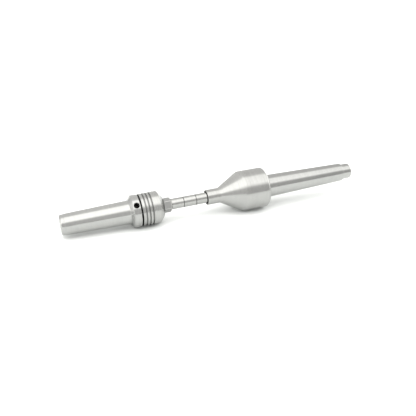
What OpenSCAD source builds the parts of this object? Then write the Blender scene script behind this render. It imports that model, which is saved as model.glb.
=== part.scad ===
// Pen-turning mandrel held between a drive arbor and a bell-nosed live center.
// Millimetres. The axis of rotation lies along X: the drive end points to -X, the tail
// shank to +X. The origin is on the axis, at the gauge plane of the tail shank's taper.

/* [Tail shank] */
// Diameter of the taper at its gauge plane
gauge_d = 17.78; // [17.7:0.01:17.9]
// Loss of diameter per millimetre of taper
taper_rate = 0.04995; // [0.049:0.00005:0.051]
// Length of the tail taper, from the gauge plane to the step
tail_taper_len = 64; // [58:0.5:66]
// Diameter of the reduced tip behind the taper
tail_tip_d = 12.4; // [10:0.1:13]
// Length of the reduced tip
tail_tip_len = 8.6; // [5:0.1:12]
// Diameter of the bore that lets the mandrel rod pass through
through_d = 6.8; // [6.6:0.1:7.2]
// Diameter of the plain neck inside the rear cover
neck_d = 17; // [16.6:0.1:17.2]

/* [Bell housing] */
// Largest diameter of the bell
bell_d = 31.6; // [31.4:0.1:34]
// Length of the bell's cylinder
bell_len = 20.8; // [19.5:0.1:24]
// Length of the bell's cone
bell_cone_len = 17.4; // [16:0.1:18]
// Diameter of the collar at the bell's mouth
collar_d = 11.8; // [11.4:0.1:13]
// Length of the collar
collar_len = 10.4; // [10:0.1:14]
// Gap between the bell's rear face and the gauge plane
bell_gap = 5.6; // [3:0.1:7]
// Diameter of the counterbore that the last bushing seats in
mouth_d = 9.6; // [9:0.1:10]
// Depth of that counterbore
mouth_depth = 0.8; // [0.5:0.1:1.5]
// Chamfer on the bell's rear edge
bell_chamfer = 1.4; // [0.5:0.1:1.5]

/* [Bearings] */
// Bore of the front bearing, and diameter of the front seat
front_id = 12; // [12:1:12]
// Outer diameter of the front bearing and of the thrust bearing
front_od = 21; // [21:1:21]
// Bore of the rear bearing, and diameter of the rear seat
rear_id = 15; // [15:1:15]
// Outer diameter of the rear bearing
rear_od = 24; // [24:1:24]
// Width of each bearing
bearing_w = 5; // [5:1:5]
// Diameter of the balls
ball_d = 2.4; // [2.2:0.1:2.4]

/* [Mandrel rod] */
// Diameter of the rod
rod_d = 6.25; // [6.2:0.01:6.3]
// Length of the rod
rod_len = 190; // [170:1:200]
// How far the rod reaches past the gauge plane inside the tail shank
rod_reach = 54; // [40:1:60]

/* [Bushings] */
// Outer diameter of a bushing
bushing_d = 8.3; // [7.8:0.1:8.6]
// Length of a bushing
bushing_len = 9.8; // [9:0.1:10]

/* [Collet nut] */
// Diameter of the nut's grip and of the arbor's ring
head_d = 24.6; // [24:0.1:28]
// Length of the grip
head_len = 13.7; // [13.7:0.1:16]
// Length of the nut's cone
nut_cone_len = 5; // [4.5:0.1:6]
// Width across the flats of the hex nose
hex_af = 10; // [9.5:0.1:10.2]
// Angle of the first flat above the front, about the axis
hex_angle = 23; // [0:1:59]
// Diameter that the hex nose is turned to before its flats are milled
nose_d = 11.3; // [10.8:0.1:11.5]
// Length of the hex nose
hex_len = 5.1; // [4.5:0.1:6]
// Distance between the grip's grooves
groove_pitch = 2.55; // [2.3:0.05:2.7]
// Width of a groove
groove_w = 1.1; // [0.8:0.1:1.3]
// Depth of a groove
groove_depth = 0.7; // [0.4:0.1:1]

/* [Drive arbor] */
// Gap between the arbor's ring and the tightened nut
nut_gap = 1.2; // [0.8:0.1:1.5]
// Length of the ring's cylinder
ring_len = 5.1; // [5:0.1:7]
// Length of the bevel behind the ring
ring_bevel = 2.3; // [1.5:0.1:3]
// Length of the taper between the arbor's bevel and its gauge plane
drive_root_len = 5; // [2:0.5:6]
// Length of the drive taper, from its gauge plane to its small end
drive_taper_len = 45; // [40:0.5:60]
// Diameter of the clamping thread, drawn as a plain cylinder
thread_d = 18; // [17:0.5:18]
// Diameter of the hole for the tommy bar
tommy_d = 4.2; // [4:0.1:4.4]
// Depth of that hole
tommy_depth = 6.5; // [5:0.5:6.5]
// Angle of that hole above the front, about the axis
tommy_angle = 44; // [0:1:90]

/* [Hidden] */
$fn = 96;
running = 0.05;
edge = 0.25;

// Stations along the axis, from the tail towards the drive end.
tail_step_x = tail_taper_len;
tail_end_x = tail_step_x + tail_tip_len;
bell_rear_x = -bell_gap;
bell_cyl_x = bell_rear_x - bell_len;
bell_cone_x = bell_cyl_x - bell_cone_len;
mouth_x = bell_cone_x - collar_len;
seat_x = mouth_x + mouth_depth;
nut_front_x = seat_x - 3 * bushing_len;
nut_cone_x = nut_front_x - hex_len;
head_front_x = nut_cone_x - nut_cone_len;
head_rear_x = head_front_x - head_len;
ring_front_x = head_rear_x - nut_gap;
ring_rear_x = ring_front_x - ring_len;
bevel_x = ring_rear_x - ring_bevel;
drive_gauge_x = bevel_x - drive_root_len;
drive_end_x = drive_gauge_x - drive_taper_len;

// Inside the bell, from the rear cover towards the mouth.
cover_len = 3;
cover_x = bell_rear_x - cover_len;
cover_r = 13.75;
rear_brg_x = cover_x - bearing_w;
wave_len = 1;
wave_x = rear_brg_x - wave_len;
sleeve_len = 4.5;
sleeve_x = wave_x - sleeve_len;
thrust_rear_x = sleeve_x - 1;
washer_t = 1.5;
thrust_x = thrust_rear_x - bearing_w;
outer_spacer_len = 1;
front_brg_end_x = thrust_x - outer_spacer_len;
front_brg_x = front_brg_end_x - bearing_w;
cavity_x = front_brg_x - 3.5;
cavity_r = 8.4;
spindle_end_x = front_brg_x - 2.7;
bush_rear_x = cavity_x - 2;
bush_len = 14.4;
bush_front_x = bush_rear_x - bush_len;
bush_r = 4.5;
clip_t = 1;

// Rolling elements.
ball_r = ball_d / 2;
groove_r = ball_r + running;
front_pitch_r = (front_id + front_od) / 4;
rear_pitch_r = (rear_id + rear_od) / 4;
thrust_pitch_r = 8.8;
front_balls_n = 13;
rear_balls_n = 15;
thrust_balls_n = 14;
snug = 0.02;

// The collet and its seat.
collet_big_x = nut_front_x - 13.3;
collet_len = 12;
collet_small_x = collet_big_x - collet_len;
collet_big_r = 6;
collet_angle = 8;
collet_small_r = collet_big_r - collet_len * tan(collet_angle);
neck_w = 1.2;
collet_neck_r = 5;
lip_w = 1;
nose_cone_len = 2.2;
nose_angle = 30;
collet_nose_r = collet_big_r - nose_cone_len * tan(nose_angle);
collet_front_x = collet_big_x + neck_w + lip_w + nose_cone_len;
boss_end_x = collet_big_x - 0.4;
slot_w = 0.6;
slots_n = 4;

// A solid of revolution about X. Each point is [radius, position along X].
module turned(outline) {
    rotate([0, 90, 0]) rotate_extrude() polygon(outline);
}

// A plain ring, with broken edges outside where chamfer is given.
module ring(r_in, r_out, x0, x1, chamfer = 0) {
    turned([[r_in, x0], [r_out - chamfer, x0], [r_out, x0 + chamfer],
        [r_out, x1 - chamfer], [r_out - chamfer, x1], [r_in, x1]]);
}

// A ring with a round raceway groove centred on [pitch_r, groove_x].
module grooved_ring(r_in, r_out, x0, x1, pitch_r, groove_x) {
    rotate([0, 90, 0]) rotate_extrude() difference() {
        translate([r_in, x0]) square([r_out - r_in, x1 - x0]);
        translate([pitch_r, groove_x]) circle(groove_r);
    }
}

// Balls evenly spaced on a circle about X.
module ball_circle(count, pitch_r, x, r = ball_r) {
    for (i = [0 : count - 1])
        rotate([360 * i / count, 0, 0]) translate([x, 0, pitch_r]) sphere(r);
}

// A cage of rectangular section with a round pocket for each ball.
module ball_cage(count, pitch_r, x, height, width) {
    difference() {
        ring(pitch_r - height / 2, pitch_r + height / 2, x - width / 2, x + width / 2);
        ball_circle(count, pitch_r, x, groove_r);
    }
}

// An external circlip: an open ring with two eyed lugs beside its gap.
module circlip(seat_r, x0, lug_r) {
    band = 1.4;
    lug_angle = 17;
    rotate([0, 90, 0]) translate([0, 0, x0]) linear_extrude(clip_t) difference() {
        union() {
            circle(seat_r + band);
            for (side = [-1, 1])
                rotate(side * lug_angle) translate([seat_r + 1.1, 0]) circle(lug_r);
        }
        circle(seat_r);
        polygon([[0, 0], [3 * seat_r, -seat_r / 2], [3 * seat_r, seat_r / 2]]);
        for (side = [-1, 1])
            rotate(side * lug_angle) translate([seat_r + 1.2, 0]) circle(lug_r * 0.45);
    }
}

// Hollow spindle and tapered shank in one piece: front seat, shoulder, rear seat, neck,
// taper and the reduced tip that the ejector pushes on.
module live_center_shank() {
    bore_r = through_d / 2;
    seat_r = front_id / 2;
    rear_r = rear_id / 2;
    groove_depth_r = 0.45;
    clip_front_x = front_brg_x - clip_t - snug;
    rear_clip_x = rear_brg_x - clip_t - snug;
    gauge_r = gauge_d / 2;
    root_x = bell_rear_x + 0.8;
    root_r = gauge_r - root_x * taper_rate / 2;
    step_r = gauge_r - tail_taper_len * taper_rate / 2;
    tip_r = tail_tip_d / 2;
    color("gainsboro") turned([
        [bore_r, spindle_end_x], [seat_r - 0.5, spindle_end_x], [seat_r, spindle_end_x + 0.5],
        [seat_r, clip_front_x], [seat_r - groove_depth_r, clip_front_x],
        [seat_r - groove_depth_r, front_brg_x], [seat_r, front_brg_x],
        [seat_r, thrust_rear_x], [rear_r, thrust_rear_x], [rear_r, rear_clip_x],
        [rear_r - groove_depth_r, rear_clip_x], [rear_r - groove_depth_r, rear_brg_x],
        [rear_r, rear_brg_x], [rear_r, cover_x], [neck_d / 2, cover_x],
        [neck_d / 2, root_x], [root_r - 0.4, root_x], [root_r, root_x + 0.4], [gauge_r, 0],
        [step_r + edge * taper_rate / 2, tail_step_x - edge], [step_r - edge, tail_step_x],
        [tip_r, tail_step_x], [tip_r, tail_end_x - 1.2], [tip_r - 1.2, tail_end_x],
        [bore_r + 0.6, tail_end_x], [bore_r, tail_end_x - 0.6]]);
}

module front_circlip() {
    color("dimgray") circlip(front_id / 2 - 0.42, front_brg_x - clip_t - snug / 2, 1.25);
}

module front_inner_ring() {
    r_out = front_pitch_r - ball_r + 0.45;
    color("silver") grooved_ring(front_id / 2 + snug / 2, r_out, front_brg_x,
        front_brg_end_x, front_pitch_r, front_brg_x + bearing_w / 2);
}

module inner_spacer() {
    color("lightgray") ring(front_id / 2 + snug / 2, front_id / 2 + 1,
        front_brg_end_x, thrust_rear_x - washer_t);
}

module thrust_shaft_washer() {
    color("silver") grooved_ring(front_id / 2 + snug / 2, front_od / 2 - 0.35,
        thrust_rear_x - washer_t, thrust_rear_x, thrust_pitch_r, thrust_x + bearing_w / 2);
}

module rear_circlip() {
    color("dimgray") circlip(rear_id / 2 - 0.42, rear_brg_x - clip_t - snug / 2, 1.25);
}

module rear_inner_ring() {
    r_out = rear_pitch_r - ball_r + 0.45;
    color("silver") grooved_ring(rear_id / 2 + snug / 2, r_out, rear_brg_x, cover_x,
        rear_pitch_r, rear_brg_x + bearing_w / 2);
}

// One turned shell: collar, cone and cylinder outside, stepped bearing bores inside.
module bell_housing() {
    r = bell_d / 2;
    collar_r = collar_d / 2;
    lip_r = through_d / 2;
    color("lightgray") turned([
        [mouth_d / 2, mouth_x], [collar_r - 0.3, mouth_x], [collar_r, mouth_x + 0.3],
        [collar_r, bell_cone_x], [r, bell_cyl_x], [r, bell_rear_x - bell_chamfer],
        [r - bell_chamfer, bell_rear_x], [cover_r + snug, bell_rear_x],
        [cover_r + snug, cover_x], [rear_od / 2, cover_x], [rear_od / 2, sleeve_x],
        [front_od / 2, sleeve_x], [front_od / 2, front_brg_x], [cavity_r, front_brg_x],
        [cavity_r, cavity_x], [bush_r, cavity_x], [bush_r, bush_front_x],
        [lip_r, bush_front_x], [lip_r, seat_x], [mouth_d / 2, seat_x]]);
}

// Bronze sleeve pressed into the collar from inside: the rod turns and slides in it.
module nose_bush() {
    color("peru") ring(rod_d / 2 + running, bush_r - snug, bush_front_x, bush_rear_x);
}

module front_outer_ring() {
    r_in = front_pitch_r + ball_r - 0.45;
    color("silver") grooved_ring(r_in, front_od / 2 - snug, front_brg_x, front_brg_end_x,
        front_pitch_r, front_brg_x + bearing_w / 2);
}

module outer_spacer() {
    color("lightgray") ring(front_od / 2 - 1.5, front_od / 2 - snug, front_brg_end_x, thrust_x);
}

module thrust_housing_washer() {
    color("silver") grooved_ring(front_id / 2 + 1.3, front_od / 2 - snug, thrust_x,
        thrust_x + washer_t, thrust_pitch_r, thrust_x + bearing_w / 2);
}

module spring_sleeve() {
    color("lightgray") ring(rear_od / 2 - 1, rear_od / 2 - snug, sleeve_x, wave_x);
}

// Wavy spring washer that takes up the play of the rear bearing.
module wave_spring() {
    steps = 72;
    waves = 3;
    r_in = 10.2;
    r_out = 11.7;
    half_t = 0.15;
    swing = wave_len / 2 - half_t - snug;
    mid_x = (wave_x + rear_brg_x) / 2;
    corners = [[r_in, -half_t], [r_out, -half_t], [r_out, half_t], [r_in, half_t]];
    points = [for (i = [0 : steps - 1]) for (c = corners)
        [mid_x + c[1] + swing * sin(360 * waves * i / steps),
            c[0] * cos(360 * i / steps), c[0] * sin(360 * i / steps)]];
    faces = [for (i = [0 : steps - 1]) for (k = [0 : 3])
        [4 * i + k, 4 * i + (k + 1) % 4,
            4 * ((i + 1) % steps) + (k + 1) % 4, 4 * ((i + 1) % steps) + k]];
    color("slategray") polyhedron(points, faces, convexity = 4);
}

module rear_outer_ring() {
    r_in = rear_pitch_r + ball_r - 0.45;
    color("silver") grooved_ring(r_in, rear_od / 2 - snug, rear_brg_x, cover_x,
        rear_pitch_r, rear_brg_x + bearing_w / 2);
}

// Threaded closing ring, flush with the bell's rear face, with two spanner slots.
module rear_cover() {
    lip_r = neck_d / 2 + 0.5;
    front_lip_r = rear_pitch_r - ball_r + 0.8;
    seal_r = 10.65;
    seal_front_x = cover_x + 0.8;
    seal_rear_x = bell_rear_x - 0.8;
    slot_depth = 1;
    color("darkgray") difference() {
        turned([[front_lip_r, cover_x], [cover_r, cover_x], [cover_r, bell_rear_x],
            [lip_r, bell_rear_x], [lip_r, seal_rear_x], [seal_r, seal_rear_x],
            [seal_r, seal_front_x], [front_lip_r, seal_front_x]]);
        for (side = [-1, 1])
            translate([bell_rear_x, 0, side * 13]) cube([2 * slot_depth, 2.4, 3.4], center = true);
    }
}

// Rubber ring that keeps dust off the rear bearing.
module rear_seal() {
    color("#2c2c2e") ring(neck_d / 2 + running, 10.6, cover_x + 0.85, bell_rear_x - 0.85);
}

module front_balls() {
    color("whitesmoke") ball_circle(front_balls_n, front_pitch_r, front_brg_x + bearing_w / 2);
}

module front_cage() {
    color("goldenrod") ball_cage(front_balls_n, front_pitch_r, front_brg_x + bearing_w / 2,
        0.8, 3.4);
}

module thrust_balls() {
    color("whitesmoke") ball_circle(thrust_balls_n, thrust_pitch_r, thrust_x + bearing_w / 2);
}

module thrust_cage() {
    color("goldenrod") ball_cage(thrust_balls_n, thrust_pitch_r, thrust_x + bearing_w / 2,
        2.9, 1.2);
}

module rear_balls() {
    color("whitesmoke") ball_circle(rear_balls_n, rear_pitch_r, rear_brg_x + bearing_w / 2);
}

module rear_cage() {
    color("goldenrod") ball_cage(rear_balls_n, rear_pitch_r, rear_brg_x + bearing_w / 2,
        0.8, 3.4);
}

// Ground steel rod that carries the work, with a center-drilled dimple in its tail end.
module mandrel_rod() {
    r = rod_d / 2;
    tail_x = rod_reach;
    drive_x = rod_reach - rod_len;
    color("gainsboro") turned([[0, drive_x], [r - 0.6, drive_x], [r, drive_x + 0.6],
        [r, tail_x - 0.6], [r - 0.6, tail_x], [1, tail_x], [0, tail_x - 1.7]]);
}

// A bushing, counted from the bell: 0 is the one that seats in the bell's mouth.
module bushing(index) {
    x1 = seat_x - index * bushing_len - snug / 2;
    x0 = x1 - bushing_len + snug;
    color("silver") ring(rod_d / 2 + running, bushing_d / 2, x0, x1, edge);
}

module bushing_right() {
    bushing(0);
}

module bushing_middle() {
    bushing(1);
}

module bushing_left() {
    bushing(2);
}

// Clamping nut: grooved grip, cone and hex nose, threaded inside for the arbor's boss.
module collet_nut() {
    r = head_d / 2;
    nose_r = nose_d / 2;
    cone_end_r = nose_r + 0.3;
    bore_r = through_d / 2;
    clear = running;
    cone_start_x = collet_big_x + neck_w + lip_w;
    cone_end_x = collet_front_x + 0.2;
    cone_small_r = collet_big_r + clear - (cone_end_x - cone_start_x) * tan(nose_angle);
    groove_start_x = head_rear_x + 2.5;
    clip_r = 6.9;
    runout = 1.2;
    color("silver") difference() {
        turned([
            [thread_d / 2 + running, head_rear_x], [r - 0.3, head_rear_x],
            [r, head_rear_x + 0.3], [r, head_front_x], [cone_end_r, nut_cone_x],
            [nose_r, nut_cone_x], [nose_r, nut_front_x - 0.8], [hex_af / 2 - 0.4, nut_front_x],
            [bore_r + 0.3, nut_front_x], [bore_r, nut_front_x - 0.3],
            [bore_r, cone_end_x], [cone_small_r, cone_end_x],
            [collet_big_r + clear, cone_start_x], [collet_big_r + clear, collet_big_x + neck_w],
            [clip_r, collet_big_x + neck_w], [clip_r, collet_big_x],
            [thread_d / 2 + running, collet_big_x]]);
        for (i = [0 : 2])
            ring(r - groove_depth, r + 1, groove_start_x + i * groove_pitch - groove_w / 2,
                groove_start_x + i * groove_pitch + groove_w / 2);
        for (i = [0 : 5])
            rotate([90 - hex_angle + 60 * i, 0, 0])
                translate([nut_cone_x - runout, -r, hex_af / 2])
                    cube([hex_len + runout + 1, 2 * r, r]);
    }
}

// Snap ring in the nut that draws the collet out of its seat.
module extractor_ring() {
    slack = 0.15;
    color("dimgray") ring(collet_neck_r + 0.15, 6.85, collet_big_x + slack,
        collet_big_x + neck_w - slack);
}

// Split collet: slots from both ends in turn let it close on the rod.
module collet() {
    lip_x = collet_big_x + neck_w;
    cone_x = lip_x + lip_w;
    color("lightgray") difference() {
        turned([
            [rod_d / 2 + running, collet_small_x], [collet_small_r, collet_small_x],
            [collet_big_r, collet_big_x], [collet_neck_r, collet_big_x],
            [collet_neck_r, lip_x], [collet_big_r - 0.1, lip_x], [collet_big_r - 0.1, cone_x],
            [collet_nose_r - 0.1, collet_front_x], [rod_d / 2 + running, collet_front_x]]);
        for (i = [0 : slots_n - 1]) {
            rotate([90 * i, 0, 0])
                translate([collet_small_x + 3, -slot_w / 2, 0]) cube([collet_len + 9, slot_w, 9]);
            rotate([90 * i + 45, 0, 0])
                translate([collet_small_x - 1, -slot_w / 2, 0]) cube([collet_len, slot_w, 9]);
        }
    }
}

// Drive arbor in one piece: taper, bevelled ring with its tommy hole, threaded boss, and
// a through bore that opens into the collet's seat.
module drive_arbor() {
    r = head_d / 2;
    bore_r = through_d / 2;
    gauge_r = gauge_d / 2;
    small_r = gauge_r - drive_taper_len * taper_rate / 2;
    lead_r = small_r + 3 * taper_rate / 2 - 0.25;
    clear = running;
    seat_deep_x = collet_small_x - 0.4;
    seat_end_r = collet_small_r + clear;
    seat_mouth_r = collet_big_r + clear - (collet_big_x - boss_end_x) * tan(collet_angle);
    color("gainsboro") difference() {
        turned([
            [bore_r + 0.6, drive_end_x], [lead_r - 0.9, drive_end_x],
            [lead_r, drive_end_x + 0.9], [lead_r, drive_end_x + 3],
            [lead_r + 0.25, drive_end_x + 3.2], [gauge_r, drive_gauge_x],
            [gauge_r + (bevel_x - drive_gauge_x) * taper_rate / 2, bevel_x],
            [r - 0.2, ring_rear_x - 0.2], [r, ring_rear_x], [r, ring_front_x - 0.3],
            [r - 0.3, ring_front_x], [thread_d / 2, ring_front_x],
            [thread_d / 2, boss_end_x - 0.6], [thread_d / 2 - 0.6, boss_end_x],
            [seat_mouth_r, boss_end_x], [seat_end_r, seat_deep_x],
            [bore_r, seat_deep_x], [bore_r, drive_end_x + 0.6]]);
        rotate([90 - tommy_angle, 0, 0])
            translate([(ring_front_x + ring_rear_x) / 2, 0, 0]) {
                translate([0, 0, r - tommy_depth]) cylinder(d = tommy_d, h = tommy_depth + 1);
                translate([0, 0, r - 0.45]) cylinder(d1 = tommy_d, d2 = tommy_d + 1.6, h = 0.8);
            }
    }
}

live_center_shank();
front_circlip();
front_inner_ring();
inner_spacer();
thrust_shaft_washer();
rear_circlip();
rear_inner_ring();
bell_housing();
nose_bush();
front_outer_ring();
outer_spacer();
thrust_housing_washer();
spring_sleeve();
wave_spring();
rear_outer_ring();
rear_cover();
rear_seal();
front_balls();
front_cage();
thrust_balls();
thrust_cage();
rear_balls();
rear_cage();
mandrel_rod();
bushing_right();
bushing_middle();
bushing_left();
collet_nut();
extractor_ring();
collet();
drive_arbor();
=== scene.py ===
import math

import bmesh
import bpy
from mathutils import Matrix, Vector


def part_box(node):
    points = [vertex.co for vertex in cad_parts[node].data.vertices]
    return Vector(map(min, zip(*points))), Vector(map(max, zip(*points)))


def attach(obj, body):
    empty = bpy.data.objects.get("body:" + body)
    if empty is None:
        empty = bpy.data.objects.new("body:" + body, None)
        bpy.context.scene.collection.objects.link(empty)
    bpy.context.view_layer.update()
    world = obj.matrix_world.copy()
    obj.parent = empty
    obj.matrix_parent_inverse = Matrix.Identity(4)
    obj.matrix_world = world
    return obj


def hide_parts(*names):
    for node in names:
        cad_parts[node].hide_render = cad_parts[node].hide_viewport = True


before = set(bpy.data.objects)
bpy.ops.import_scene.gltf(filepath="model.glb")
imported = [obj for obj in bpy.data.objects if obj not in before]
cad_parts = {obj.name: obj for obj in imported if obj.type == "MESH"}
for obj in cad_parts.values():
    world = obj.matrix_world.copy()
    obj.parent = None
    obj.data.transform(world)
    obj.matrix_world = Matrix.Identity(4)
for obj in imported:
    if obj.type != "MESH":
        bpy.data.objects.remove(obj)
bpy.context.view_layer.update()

# --- Camera and bench top -------------------------------------------------------------
# The tool lies on a pale bench, on the bell's front edge and on the arbor's ring. The bell
# is the thicker of the two, so the bench slopes away by two degrees under the tail.
MM = 0.001
bell_lo, bell_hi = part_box("bell_housing")
nut_lo, nut_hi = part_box("collet_nut")
arbor_lo, arbor_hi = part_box("drive_arbor")
shank_lo, shank_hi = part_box("live_center_shank")
bell_r, bell_cylinder_len = 15.8, 20.8
ring_r, ring_len, ring_bevel_len, nut_gap = 12.3, 5.1, 2.3, 1.2
bell_shoulder_x = bell_hi.x / MM - bell_cylinder_len
ring_front_x = nut_lo.x / MM - nut_gap
ring_rear_x = ring_front_x - ring_len
bench_slope = (bell_r - ring_r) / (bell_shoulder_x - ring_rear_x)
bench_up = Vector((bench_slope, 0, 1)).normalized()
bench_point = Vector((bell_shoulder_x * MM, 0, -bell_r * MM))

azimuth, elevation = math.radians(-19.6), math.radians(24.93)
camera_distance, aim_right, aim_up = 436.4, -2.27, -8.84
towards_camera = Vector((math.sin(azimuth) * math.cos(elevation),
                         -math.cos(azimuth) * math.cos(elevation), math.sin(elevation)))
aim = Vector((-50.2 * MM, 0, 0))
camera_data = bpy.data.cameras.new("camera")
camera_data.lens = 48.84
camera_data.sensor_width = 36
camera_data.clip_start = 10 * MM
camera_data.clip_end = 20
camera = bpy.data.objects.new("camera", camera_data)
bpy.context.scene.collection.objects.link(camera)
bpy.context.scene.camera = camera
camera_right = bench_up.cross(towards_camera).normalized()
camera_up = towards_camera.cross(camera_right)
look_at = aim + MM * (aim_right * camera_right + aim_up * camera_up)
camera.location = aim + towards_camera * camera_distance * MM
back = (camera.location - look_at).normalized()
camera_right = bench_up.cross(back).normalized()
camera_up = back.cross(camera_right)
camera.rotation_mode = "QUATERNION"
camera.rotation_quaternion = Matrix((camera_right, camera_up, back)).transposed().to_quaternion()


# --- Tail shank -----------------------------------------------------------------------
# Hardened steel, turned and then ground between centers: hollow spindle, bearing seats,
# neck, Morse taper and the reduced tip that the ejector pushes on, all in one piece.
class Wire:
    """A socket of a node tree. Arithmetic on it adds Math nodes to that tree."""

    def __init__(self, tree, socket=None):
        self.tree = tree
        self.socket = socket

    def add(self, kind, settings=None, sockets=None):
        """Adds a node: first its settings, then the values or links of its sockets."""
        made = self.tree.nodes.new(kind)
        for name, value in (settings or {}).items():
            if name == "stops":
                ramp = made.color_ramp.elements
                while len(ramp) < len(value):
                    ramp.new(1)
                for element, (place, shade) in zip(ramp, value):
                    element.position = place
                    element.color = (shade, shade, shade, 1)
            else:
                setattr(made, name, value)
        for key, value in (sockets or {}).items():
            named = [s for s in made.inputs if s.enabled and s.name == key]
            socket = named[0] if named else made.inputs[key]
            if isinstance(value, Wire):
                self.tree.links.new(value.socket, socket)
            else:
                socket.default_value = value
        shown = [s for s in made.outputs if s.enabled]
        return Wire(self.tree, shown[0] if shown else None)

    def out(self, name):
        return Wire(self.tree, self.socket.node.outputs[name])

    def math(self, operation, *values):
        return self.add("ShaderNodeMath", {"operation": operation}, dict(enumerate(values)))

    def __add__(self, other):
        return self.math("ADD", self, other)

    __radd__ = __add__

    def __sub__(self, other):
        return self.math("SUBTRACT", self, other)

    def __rsub__(self, other):
        return self.math("SUBTRACT", other, self)

    def __mul__(self, other):
        return self.math("MULTIPLY", self, other)

    __rmul__ = __mul__

    def __truediv__(self, other):
        return self.math("DIVIDE", self, other)

    def __pow__(self, other):
        return self.math("POWER", self, other)


def tree_with_inputs(name, inputs):
    """A Geometry Nodes tree with named inputs, and the Wire that its inputs start from."""
    tree = bpy.data.node_groups.new(name, "GeometryNodeTree")
    for label, kind in inputs:
        tree.interface.new_socket(label, in_out="INPUT", socket_type="NodeSocket" + kind)
    tree.interface.new_socket("Made", in_out="OUTPUT", socket_type="NodeSocketGeometry")
    return tree, Wire(tree).add("NodeGroupInput")


def close_tree(made, finish):
    """Ends a tree in smooth shading, Realize Instances and Set Material."""
    smooth = made.add("GeometryNodeSetShadeSmooth", None, {"Geometry": made})
    real = smooth.add("GeometryNodeRealizeInstances", None, {"Geometry": smooth})
    done = real.add("GeometryNodeSetMaterial", None, {"Geometry": real, "Material": finish})
    done.add("NodeGroupOutput", None, {"Made": done})


def lathe():
    """Spins an outline, whose points are (position along X, radius, 0), about X."""
    tree, given = tree_with_inputs(
        "lathe", [("Outline", "Geometry"), ("Steps", "Int"), ("Finish", "Material")])
    outline, steps = given.out("Outline"), given.out("Steps")
    rows = outline.add("GeometryNodeAttributeDomainSize", {"component": "MESH"},
                       {"Geometry": outline})
    grid = rows.add("GeometryNodeMeshGrid", None, {"Vertices X": rows, "Vertices Y": steps + 1})
    index = grid.add("GeometryNodeInputIndex")
    row = index.math("FLOOR", (index + 0.5) / (steps + 1))
    turn = (index - row * (steps + 1)) / steps * math.tau
    place = row.add("GeometryNodeInputPosition")
    sampled = row.add("GeometryNodeSampleIndex", {"data_type": "FLOAT_VECTOR"},
                      {"Geometry": outline, "Value": place, "Index": row})
    point = sampled.add("ShaderNodeSeparateXYZ", None, {"Vector": sampled})
    radius = point.out("Y")
    spot = point.add("ShaderNodeCombineXYZ", None, {
        "X": point.out("X"), "Y": radius * turn.math("SINE", turn),
        "Z": radius * turn.math("COSINE", turn)})
    spun = spot.add("GeometryNodeSetPosition", None,
                    {"Geometry": grid, "Position": spot})
    closed = spun.add("GeometryNodeMergeByDistance", None,
                      {"Geometry": spun, "Distance": 0.0005 * MM})
    close_tree(closed, given.out("Finish"))
    return tree


LATHE = lathe()


def grown(name, tree, values, points=(), edges=()):
    """Runs a Geometry Nodes tree on a polyline, and keeps its result as a plain mesh."""
    mesh = bpy.data.meshes.new(name)
    mesh.from_pydata(points, edges, [])
    piece = bpy.data.objects.new(name, mesh)
    bpy.context.scene.collection.objects.link(piece)
    modifier = piece.modifiers.new(tree.name, "NODES")
    modifier.node_group = tree
    sockets = {s.name: s.identifier for s in tree.interface.items_tree if s.in_out == "INPUT"}
    for label, value in values.items():
        modifier[sockets[label]] = value
    settled = piece.evaluated_get(bpy.context.evaluated_depsgraph_get())
    made = bpy.data.meshes.new_from_object(settled)
    piece.modifiers.clear()
    piece.data = made
    facing_out(piece)
    return piece


def facing_out(piece):
    """Turns every face of a closed piece outwards."""
    shell = bmesh.new()
    shell.from_mesh(piece.data)
    bmesh.ops.remove_doubles(shell, verts=shell.verts, dist=0.0005 * MM)
    bmesh.ops.recalc_face_normals(shell, faces=shell.faces)
    shell.to_mesh(piece.data)
    shell.free()


def softened(corners):
    """Rounds each corner (x, radius, rounding) of a closed outline, in millimetres."""
    points = []
    for i, (x, r, rounding) in enumerate(corners):
        here = Vector((x, r))
        before = Vector(corners[i - 1][:2]) - here
        after = Vector(corners[(i + 1) % len(corners)][:2]) - here
        if not rounding:
            points.append(here)
            continue
        reach = min(rounding, 0.4 * before.length, 0.4 * after.length)
        start = here + before.normalized() * reach
        end = here + after.normalized() * reach
        points.append(here + before.normalized() * reach * 1.15)
        for step in range(5):
            u = step / 4
            points.append(start * (1 - u) ** 2 + here * 2 * u * (1 - u) + end * u ** 2)
        points.append(here + after.normalized() * reach * 1.15)
    return points


def turned(name, corners, finish, steps=256):
    """A piece turned on the lathe from a closed outline of corners in millimetres."""
    points = [(p.x * MM, p.y * MM, 0) for p in softened(corners)]
    points.append(points[0])
    edges = [(i, i + 1) for i in range(len(points) - 1)]
    return grown(name, LATHE, {"Steps": steps, "Finish": finish}, points, edges)


def new_material(name):
    """An empty node material and the Wire that its nodes start from."""
    material = bpy.data.materials.new(name)
    material.use_nodes = True
    material.node_tree.nodes.clear()
    return material, Wire(material.node_tree)


def around_axis(wire):
    """Object coordinates, their parts, and a measure that grows along any turned outline."""
    place = wire.add("ShaderNodeTexCoord").out("Object")
    part = place.add("ShaderNodeSeparateXYZ", None, {"Vector": place})
    radius = (part.out("Y") * part.out("Y") + part.out("Z") * part.out("Z")) ** 0.5
    return place, part, part.out("X") + 1.7 * radius


def tool_lines(part, along, pitch, drift):
    """Fine rings about X: noise squeezed along the outline and stretched round the axis."""
    spot = part.add("ShaderNodeCombineXYZ", None,
                    {"X": along / pitch, "Y": part.out("Y") * drift, "Z": part.out("Z") * drift})
    return spot.add("ShaderNodeTexNoise", None,
                    {"Vector": spot, "Scale": 1.0, "Detail": 3.0, "Roughness": 0.6})


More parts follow.
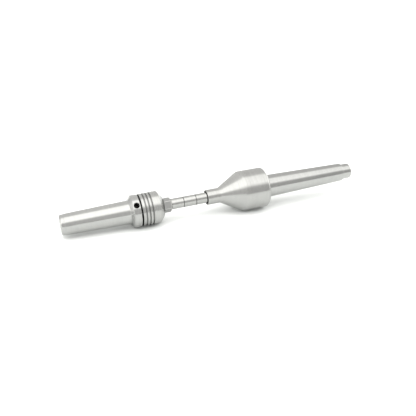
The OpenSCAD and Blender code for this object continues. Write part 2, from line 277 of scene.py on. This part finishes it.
def metal(name, dark, light, roughness, pitch, depth, feed=0.0):
    """Machined metal: rings left by the tool, faint stains and scratches, a varying sheen."""
    material, wire = new_material(name)
    place, part, along = around_axis(wire)
    fine = tool_lines(part, along, pitch, 60)
    broad = tool_lines(part, along, pitch * 9, 25)
    cloud = place.add("ShaderNodeTexNoise", None,
                      {"Vector": place, "Scale": 90.0, "Detail": 4.0, "Roughness": 0.55})
    grain = part.add("ShaderNodeCombineXYZ", None, {
        "X": part.out("X") * 300, "Y": part.out("Y") * 2600, "Z": part.out("Z") * 2600})
    nicks = grain.add("ShaderNodeTexNoise", None,
                      {"Vector": grain, "Scale": 1.0, "Detail": 2.0})
    nicks = nicks.add("ShaderNodeMapRange", None,
                      {"Value": nicks, "From Min": 0.66, "From Max": 0.74})
    tone = 0.5 * fine + 0.3 * broad + 0.2 * cloud - 0.12 * nicks
    tone = tone.add("ShaderNodeMapRange", None,
                    {"Value": tone, "From Min": 0.3, "From Max": 0.7})
    colour = tone.add("ShaderNodeMix", {"data_type": "RGBA"},
                      {"Factor": tone, "A": (*dark, 1), "B": (*light, 1)})
    sheen = roughness - 0.07 + 0.06 * fine + 0.08 * cloud + 0.06 * nicks
    height = fine - 0.5 * nicks
    if feed:
        height = height + feed * broad
    bump = height.add("ShaderNodeBump", None,
                      {"Height": height, "Strength": 0.6, "Distance": depth})
    shader = wire.add("ShaderNodeBsdfPrincipled", None,
                      {"Base Color": colour, "Metallic": 1.0, "Roughness": sheen, "Normal": bump})
    wire.add("ShaderNodeOutputMaterial", None, {"Surface": shader})
    return material


def finish_where(piece, finish, test):
    """Gives a finish to the faces whose place and radius, in millimetres, pass a test."""
    piece.data.materials.append(finish)
    for face in piece.data.polygons:
        x, y, z = face.center / MM
        if test(x, y, z, math.hypot(y, z)):
            face.material_index = len(piece.data.materials) - 1


ground_steel = metal("ground_steel", (0.335, 0.337, 0.331), (0.435, 0.435, 0.427), 0.18,
                     0.07 * MM, 0.004 * MM)
# Near-black steel: painted shade for bores, gaps, joints and the tommy hole.
painted_shade_black = metal("painted_shade_black", (0.05, 0.05, 0.048), (0.11, 0.11, 0.105), 0.5,
                   0.1 * MM, 0.006 * MM)

gauge_r = 8.89
taper = 0.04995 / 2
bore_r = 3.4
spindle_x = shank_lo.x / MM
tip_x = shank_hi.x / MM
step_x = tip_x - 8.6
tip_r = 6.2
step_r = gauge_r - step_x * taper
front_seat_r, rear_seat_r, neck_r = 6, 7.5, 8.5
bell_rear_x = bell_hi.x / MM
root_x = bell_rear_x + 0.8
clip_w, clip_depth = 1, 0.45
cover_x = bell_rear_x - 3
rear_clip_x = cover_x - 6
thrust_x = cover_x - 11.5
front_clip_x = spindle_x + 1.7
shank = turned("tail_shank_ground", [
    (spindle_x, bore_r, 0.2), (spindle_x, front_seat_r, 0.5),
    (front_clip_x - 0.02, front_seat_r, 0.05),
    (front_clip_x - 0.02, front_seat_r - clip_depth, 0),
    (front_clip_x + clip_w, front_seat_r - clip_depth, 0),
    (front_clip_x + clip_w, front_seat_r, 0.05),
    (thrust_x, front_seat_r, 0.1), (thrust_x, rear_seat_r, 0.2),
    (rear_clip_x - 0.02, rear_seat_r, 0.05),
    (rear_clip_x - 0.02, rear_seat_r - clip_depth, 0),
    (rear_clip_x + clip_w, rear_seat_r - clip_depth, 0),
    (rear_clip_x + clip_w, rear_seat_r, 0.05),
    (cover_x, rear_seat_r, 0.1), (cover_x, neck_r, 0.15), (root_x, neck_r, 0.1),
    (root_x, gauge_r - root_x * taper, 0.4), (0, gauge_r, 0), (step_x, step_r, 0.3),
    (step_x, tip_r, 0.2), (tip_x - 1.2, tip_r, 0.4), (tip_x, tip_r - 1.2, 0.3),
    (tip_x, bore_r + 0.6, 0.1), (tip_x - 0.6, bore_r, 0.1)], ground_steel)
# The bore is painted near black as shade.
finish_where(shank, painted_shade_black, lambda x, y, z, r: x > spindle_x + 0.7 and r < bore_r + 0.1)
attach(shank, "tail")
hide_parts("live_center_shank")

# --- Bell housing ---------------------------------------------------------------------
# One turned shell. The collar and cone are cut in one pass with the cylinder, so the same
# fine feed lines run over all of it; the edges are only just broken.
turned_steel = metal("turned_steel", (0.325, 0.325, 0.318), (0.435, 0.435, 0.426), 0.22,
                     0.11 * MM, 0.006 * MM, feed=0.8)

collar_r, mouth_r = 5.9, 4.8
cover_bore_r, rear_bearing_r, front_bearing_r, cavity_r, bush_r = 13.77, 12, 10.5, 8.4, 4.5
bell_chamfer = 1.4
mouth_x = bell_lo.x / MM
seat_x = mouth_x + 0.8
cone_end_x = bell_shoulder_x - 17.4
sleeve_x = cover_x - 10.5
front_bearing_x = cover_x - 22.5
cavity_x = front_bearing_x - 3.5
bush_front_x = cavity_x - 2 - 14.4
bell = turned("bell_turned", [
    (mouth_x, mouth_r, 0.12), (mouth_x, collar_r, 0.35), (cone_end_x, collar_r, 0.5),
    (bell_shoulder_x, bell_r, 0.9), (bell_rear_x - bell_chamfer, bell_r, 0.5),
    (bell_rear_x, bell_r - bell_chamfer, 0.3), (bell_rear_x, cover_bore_r, 0.1),
    (cover_x, cover_bore_r, 0), (cover_x, rear_bearing_r, 0), (sleeve_x, rear_bearing_r, 0),
    (sleeve_x, front_bearing_r, 0), (front_bearing_x, front_bearing_r, 0),
    (front_bearing_x, cavity_r, 0), (cavity_x, cavity_r, 0), (cavity_x, bush_r, 0),
    (bush_front_x, bush_r, 0), (bush_front_x, bore_r, 0), (seat_x, bore_r, 0.1),
    (seat_x, mouth_r, 0)],
    turned_steel, steps=320)
# The mouth's counterbore and the face round the bore are painted near black as shade.
finish_where(bell, painted_shade_black, lambda x, y, z, r: x < seat_x + 0.1 and r < collar_r - 0.3)
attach(bell, "bell")
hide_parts("bell_housing")

# --- Bushings -------------------------------------------------------------------------
# Three short steel sleeves, parted off from bar and faced, that space the work on the rod.
# The chamfered joints between them are painted near black as shade.
bushing_r, bushing_bore_r, bushing_edge = 4.15, 3.175, 0.42
for place in ("right", "middle", "left"):
    lo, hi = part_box("bushing_" + place)
    x0, x1 = lo.x / MM, hi.x / MM
    bushing = turned("bushing_turned_" + place, [
        (x0, bushing_bore_r, 0.15), (x0, bushing_r, bushing_edge),
        (x1, bushing_r, bushing_edge), (x1, bushing_bore_r, 0.15)], turned_steel, steps=192)
    # The joint chamfers are painted near black as shade between the sleeves.
    finish_where(bushing, painted_shade_black, lambda x, y, z, r: r < bushing_r - 0.03)
    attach(bushing, place + "_bushing")
    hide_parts("bushing_" + place)

# --- Mandrel rod ----------------------------------------------------------------------
# Centerless-ground steel rod with chamfered ends and a center-drilled dimple at the tail.
rod_lo, rod_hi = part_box("mandrel_rod")
rod_r = 3.125
rod_x0, rod_x1 = rod_lo.x / MM, rod_hi.x / MM
rod = turned("rod_ground", [
    (rod_x0, 0, 0), (rod_x0, rod_r - 0.6, 0.1), (rod_x0 + 0.6, rod_r, 0.2),
    (rod_x1 - 0.6, rod_r, 0.2), (rod_x1, rod_r - 0.6, 0.1), (rod_x1, 1, 0.05),
    (rod_x1 - 1.7, 0, 0)], ground_steel, steps=128)
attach(rod, "rod")
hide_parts("mandrel_rod")

# --- Collet nut -----------------------------------------------------------------------
# Turned from bar: a grip with three grooves, a steep cone and a short nose, on which six
# flats are then milled for a thin spanner. The mill just bites into the foot of the cone.
nose_x = nut_hi.x / MM
hex_len, nut_cone_len = 5.1, 5
cone_foot_x = nose_x - hex_len
grip_front_x = cone_foot_x - nut_cone_len
grip_rear_x = nut_lo.x / MM
grip_r = ring_r
groove_floor_r, groove_half, groove_pitch = grip_r - 0.7, 0.55, 2.55
nose_r, foot_r = 5.65, 5.95
flat_r, flat_lean = 5, math.radians(23)
mill_x = cone_foot_x - 1.2
mill_cone_r = foot_r + (grip_r - foot_r) * (cone_foot_x - mill_x) / nut_cone_len
grooves = []
for i in range(3):
    middle = grip_rear_x + 2.5 + groove_pitch * i
    before, after = middle - groove_half, middle + groove_half
    grooves += [(before, grip_r, 0.12), (before, groove_floor_r, 0.2),
                (after, groove_floor_r, 0.2), (after, grip_r, 0.12)]
clip_x = nose_x - 13.3
thread_bore_r = 9.05
nut = turned("nut_turned", [
    (grip_rear_x, thread_bore_r, 0.1), (grip_rear_x, grip_r, 0.3), *grooves,
    (grip_front_x, grip_r, 0.25), (mill_x - 0.01, mill_cone_r, 0),
    (mill_x, mill_cone_r, 0), (cone_foot_x, foot_r, 0), (cone_foot_x + 0.02, nose_r, 0),
    (nose_x - 0.8, nose_r, 0.1), (nose_x, flat_r - 0.4, 0.1), (nose_x, bore_r + 0.3, 0),
    (nose_x - 0.3, bore_r, 0), (clip_x + 4.6, bore_r, 0), (clip_x + 4.6, 4.66, 0),
    (clip_x + 2.2, 6.05, 0), (clip_x + 1.2, 6.05, 0), (clip_x + 1.2, 6.9, 0),
    (clip_x, 6.9, 0), (clip_x, thread_bore_r, 0)], turned_steel, steps=384)
sixth = math.pi / 3


def off_flat(y, z):
    """The angle about X from the middle of the nearest flat."""
    return (math.atan2(z, -y) - flat_lean + sixth / 2) % sixth - sixth / 2


for vertex in nut.data.vertices:
    x, y, z = vertex.co / MM
    r = math.hypot(y, z)
    if x > mill_x - 0.001 and r > flat_r - 0.5:
        trimmed = min(r, flat_r / math.cos(off_flat(y, z)))
        vertex.co = (vertex.co.x, vertex.co.y * trimmed / r, vertex.co.z * trimmed / r)
milled_steel = metal("milled_steel", (0.30, 0.30, 0.295), (0.38, 0.38, 0.375), 0.4,
                     0.2 * MM, 0.008 * MM)
finish_where(nut, milled_steel, lambda x, y, z, r: x > mill_x - 0.001
             and abs(r * math.cos(off_flat(y, z)) - flat_r) < 0.02)
# Darker steel: painted shade in the grip's grooves and on the threaded boss inside the nut.
painted_shade_steel = metal("painted_shade_steel", (0.13, 0.13, 0.127), (0.22, 0.22, 0.215), 0.34,
                    0.11 * MM, 0.006 * MM)
# The grooves of the grip are painted darker as shade.
finish_where(nut, painted_shade_steel, lambda x, y, z, r: grip_rear_x + 1 < x < grip_front_x - 3
             and r < grip_r - 0.3)
# The nut's rear face in the gap and its threaded bore are painted near black as shade.
finish_where(nut, painted_shade_black, lambda x, y, z, r: x < grip_rear_x + 0.1 and r < grip_r - 0.3
             or x < clip_x + 5 and r < thread_bore_r + 0.1)
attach(nut, "nut")
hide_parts("collet_nut")

# --- Drive arbor ----------------------------------------------------------------------
# Ground taper, bevelled ring and threaded boss in one piece, bored through for the rod. A
# blind hole in the ring takes a tommy bar, which stops the arbor while the nut is turned.
small_x = arbor_lo.x / MM
bevel_x = ring_rear_x - ring_bevel_len
drive_root_len, lead_len = 5, 3
drive_gauge_x = bevel_x - drive_root_len
lead_r = gauge_r - (drive_gauge_x - small_x - lead_len) * taper - 0.25
boss_end_x = arbor_hi.x / MM
boss_r, thread_root_r = 9, 8.1
arbor = turned("arbor_ground", [
    (small_x, bore_r + 0.6, 0.1), (small_x, lead_r - 0.9, 0.3), (small_x + 0.9, lead_r, 0.4),
    (small_x + lead_len, lead_r, 0.1), (small_x + lead_len + 0.2, lead_r + 0.25, 0.1),
    (drive_gauge_x, gauge_r, 0), (bevel_x, gauge_r + drive_root_len * taper, 0.3),
    (ring_rear_x, ring_r, 0.35), (ring_front_x, ring_r, 0.3),
    (ring_front_x, thread_root_r, 0.2), (boss_end_x - 0.9, thread_root_r, 0.1),
    (boss_end_x, thread_root_r - 0.8, 0.1), (boss_end_x, 5.99, 0.05),
    (clip_x - 12.4, 4.36, 0), (clip_x - 12.4, bore_r, 0), (small_x + 0.6, bore_r, 0.1)],
    ground_steel, steps=384)


def thread():
    """A ridge of triangular section wound along a spiral about X."""
    tree, given = tree_with_inputs("thread", [
        ("Turns", "Float"), ("Pitch", "Float"), ("Root radius", "Float"), ("Crest", "Float"),
        ("Start", "Float"), ("Finish", "Material")])
    turns, pitch, crest = given.out("Turns"), given.out("Pitch"), given.out("Crest")
    spiral = given.add("GeometryNodeCurveSpiral", None, {
        "Resolution": 72, "Rotations": turns, "Start Radius": given.out("Root radius"),
        "End Radius": given.out("Root radius"), "Height": turns * pitch})
    spiral = spiral.add("GeometryNodeSetCurveNormal", {"mode": "Z_UP"}, {"Curve": spiral})
    # the normals now point at the axis, so a corner that stands out has a negative X
    corners = {}
    for i, (height, half) in enumerate(((None, -0.47), (None, 0.47), (-1 * crest, 0.06),
                                        (-1 * crest, -0.06))):
        corners["Point %d" % (i + 1)] = given.add("ShaderNodeCombineXYZ", None, {
            "X": 0.05 * MM if height is None else height, "Y": pitch * half})
    section = given.add("GeometryNodeCurvePrimitiveQuadrilateral", {"mode": "POINTS"}, corners)
    ridge = section.add("GeometryNodeCurveToMesh", None, {
        "Curve": spiral, "Profile Curve": section, "Fill Caps": True})
    start = given.add("ShaderNodeCombineXYZ", None, {"X": given.out("Start")})
    placed = ridge.add("GeometryNodeTransform", None, {
        "Geometry": ridge, "Translation": start, "Rotation": (0, math.pi / 2, 0)})
    close_tree(placed, given.out("Finish"))
    return tree


ridge = grown("arbor_thread", thread(), {
    "Turns": 6.5, "Pitch": 1.5 * MM, "Root radius": thread_root_r * MM,
    "Crest": (boss_r - thread_root_r - 0.03) * MM, "Start": (ring_front_x + 0.6) * MM,
    "Finish": ground_steel})
# The thread's flanks and roots are painted darker as shade.
finish_where(ridge, painted_shade_steel, lambda x, y, z, r: r < boss_r - 0.12)
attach(ridge, "arbor")


def drill(piece, cutter):
    """Cuts the cutter's solid out of a piece."""
    cut = piece.modifiers.new("drill", "BOOLEAN")
    cut.operation = "DIFFERENCE"
    cut.solver = "EXACT"
    cut.object = cutter
    settled = piece.evaluated_get(bpy.context.evaluated_depsgraph_get())
    made = bpy.data.meshes.new_from_object(settled)
    piece.modifiers.clear()
    piece.data = made
    bpy.data.objects.remove(cutter)


tommy_lean = math.radians(44)
tommy_r, tommy_floor = 2.1, ring_r - 6.5
cutter = turned("tommy_cutter", [
    (tommy_floor, 0, 0), (tommy_floor, tommy_r, 0.1), (ring_r - 0.45, tommy_r, 0.1),
    (ring_r + 0.35, tommy_r + 0.8, 0), (ring_r + 1, tommy_r + 0.8, 0), (ring_r + 1, 0, 0)],
    ground_steel, steps=64)
tommy_out = Vector((0, -math.cos(tommy_lean), math.sin(tommy_lean)))
turn_out = Vector((1, 0, 0)).rotation_difference(tommy_out).to_matrix().to_4x4()
ring_middle = Vector(((ring_front_x + ring_rear_x) / 2, 0, 0))
cutter.data.transform(Matrix.Translation(ring_middle * MM) @ turn_out)
drill(arbor, cutter)


def gets_painted_shade(x, y, z, r):
    """True where painted shade goes: the ring's front face, the boss in the gap, the bore and
    inside the hole.
    """
    run = Vector((x, y, z)) - ring_middle
    beside = (run - run.dot(tommy_out) * tommy_out).length
    in_hole = beside < tommy_r + 0.05 and tommy_floor - 1 < run.dot(tommy_out) < ring_r - 2.2
    in_gap = ring_front_x - 0.05 < x < ring_front_x + 0.3 and r < ring_r - 0.3
    return in_hole or in_gap or r < bore_r + 0.1


# The boss beyond the gap, hidden in the nut, is painted darker as shade.
finish_where(arbor, painted_shade_steel, lambda x, y, z, r: x > ring_front_x + 0.3)
# The ring's front face, the boss in the gap, the bore and the inside of the tommy hole are
# painted near black as shade.
finish_where(arbor, painted_shade_black, gets_painted_shade)
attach(arbor, "arbor")
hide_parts("drive_arbor")

# --- Bearings, clips and the rest inside ----------------------------------------------
# Polished bearing rings and balls, pressed brass cages, blackened spring clips, a bronze
# bush, a rubber seal and the collet: all bought or simple parts, shown as the CAD has them.
bearing_steel = metal("bearing_steel", (0.60, 0.60, 0.61), (0.72, 0.72, 0.73), 0.14,
                      0.05 * MM, 0.001 * MM)
spring_steel = metal("spring_steel", (0.10, 0.10, 0.11), (0.22, 0.22, 0.23), 0.36,
                     0.15 * MM, 0.004 * MM)
bronze = metal("bronze", (0.50, 0.29, 0.13), (0.66, 0.41, 0.21), 0.32, 0.12 * MM, 0.005 * MM)
brass = metal("brass", (0.62, 0.44, 0.17), (0.76, 0.57, 0.26), 0.25, 0.09 * MM, 0.003 * MM)


def rubber():
    """Moulded nitrile: near black, matte, with a fine grain."""
    material, wire = new_material("rubber")
    place = wire.add("ShaderNodeTexCoord").out("Object")
    grain = place.add("ShaderNodeTexNoise", None,
                      {"Vector": place, "Scale": 6000.0, "Detail": 2.0})
    colour = grain.add("ShaderNodeMix", {"data_type": "RGBA"}, {
        "Factor": grain, "A": (0.018, 0.018, 0.02, 1), "B": (0.035, 0.035, 0.037, 1)})
    bump = grain.add("ShaderNodeBump", None,
                     {"Height": grain, "Strength": 0.4, "Distance": 0.01 * MM})
    shader = wire.add("ShaderNodeBsdfPrincipled", None,
                      {"Base Color": colour, "Roughness": 0.55 + 0.15 * grain, "Normal": bump})
    wire.add("ShaderNodeOutputMaterial", None, {"Surface": shader})
    return material


finishes = {
    "bearing_steel": (bearing_steel, [
        "front_inner_ring", "front_outer_ring", "rear_inner_ring", "rear_outer_ring",
        "thrust_shaft_washer", "thrust_housing_washer", "front_balls", "thrust_balls",
        "rear_balls"]),
    "spring_steel": (spring_steel, [
        "front_circlip", "rear_circlip", "wave_spring", "extractor_ring"]),
    "turned_steel": (turned_steel, ["inner_spacer", "outer_spacer", "spring_sleeve",
                                    "rear_cover"]),
    "ground_steel": (ground_steel, ["collet"]),
    "bronze": (bronze, ["nose_bush"]),
    "brass": (brass, ["front_cage", "thrust_cage", "rear_cage"]),
    "rubber": (rubber(), ["rear_seal"])}
for material, names in finishes.values():
    for name in names:
        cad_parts[name].data.materials.clear()
        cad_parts[name].data.materials.append(material)

# --- Bench top and light --------------------------------------------------------------
# A matte white sweep under a broad overhead light, with a darker room on the camera's side.
bench_half = 3.0
across = Vector((0, 1, 0))
along_bench = across.cross(bench_up)
corners = [bench_point + bench_half * (i * along_bench + j * across)
           for i, j in ((-1, -1), (1, -1), (1, 1), (-1, 1))]
bench_mesh = bpy.data.meshes.new("bench")
bench_mesh.from_pydata(corners, [], [(0, 1, 2, 3)])
bench = bpy.data.objects.new("bench", bench_mesh)
bpy.context.scene.collection.objects.link(bench)
bench_white, wire = new_material("bench_white")
place = wire.add("ShaderNodeTexCoord").out("Object")
mottle = place.add("ShaderNodeTexNoise", None, {"Vector": place, "Scale": 15.0, "Detail": 3.0})
shade = mottle.add("ShaderNodeMix", {"data_type": "RGBA"}, {
    "Factor": mottle, "A": (0.865, 0.88, 0.875, 1), "B": (0.885, 0.90, 0.895, 1)})
wire.add("ShaderNodeOutputMaterial", None, {
    "Surface": wire.add("ShaderNodeBsdfPrincipled", None, {
        "Base Color": shade, "Roughness": 0.9, "Specular IOR Level": 0.2})})
bench_mesh.materials.append(bench_white)

world = bpy.data.worlds.new("studio")
bpy.context.scene.world = world
world.use_nodes = True
world.node_tree.nodes.clear()
wire = Wire(world.node_tree)
way = wire.add("ShaderNodeTexCoord").out("Generated")
part = way.add("ShaderNodeSeparateXYZ", None, {"Vector": way})
height_angle = part.add("ShaderNodeMath", {"operation": "ARCTAN2"},
                        {0: part.out("Z"), 1: -1 * part.out("Y")})
# light from each angle about X, from -180 to 180 degrees: 0 is level in front, 90 is overhead
sky_top = 2.9
sky_stops = [(-180, 0.95), (-12, 0.9), (4, 0.8), (9, 1.0), (34, 0.98), (44, 2.1),
             (52, 2.8), (78, 2.65), (99, 2.6), (106, 1.4), (130, 1.28), (166, 1.22),
             (180, 0.7)]
sky = way.add("ShaderNodeValToRGB", {"stops": [
    ((angle + 180) / 360, value / sky_top) for angle, value in sky_stops]},
    {"Fac": height_angle / math.tau + 0.5})
# half of each share is stored, because the light from the tail's end is twice as strong
sideways = way.add("ShaderNodeValToRGB", {"stops": [
    (0, 0.75), (0.06, 0.7), (0.12, 0.5), (0.55, 0.5), (0.65, 0.47), (0.74, 0.39),
    (0.82, 0.36), (0.88, 0.85), (1, 1)]},
    {"Fac": part.out("X") * 0.5 + 0.5})
sky = sky * sideways * 2
light_path = wire.add("ShaderNodeLightPath")
seen = light_path.out("Is Camera Ray")
tinted = sky.add("ShaderNodeMix", {"data_type": "RGBA"},
                 {"Factor": sky, "A": (0, 0, 0, 1), "B": (1, 0.997, 0.975, 1)})
level = sky.add("ShaderNodeMix", {"data_type": "RGBA"},
                {"Factor": seen, "A": tinted, "B": (1 / sky_top, 1 / sky_top, 1 / sky_top, 1)})
background = wire.add("ShaderNodeBackground", None, {"Color": level, "Strength": sky_top})
wire.add("ShaderNodeOutputWorld", None, {"Surface": background})
bpy.context.scene.view_settings.view_transform = "Standard"
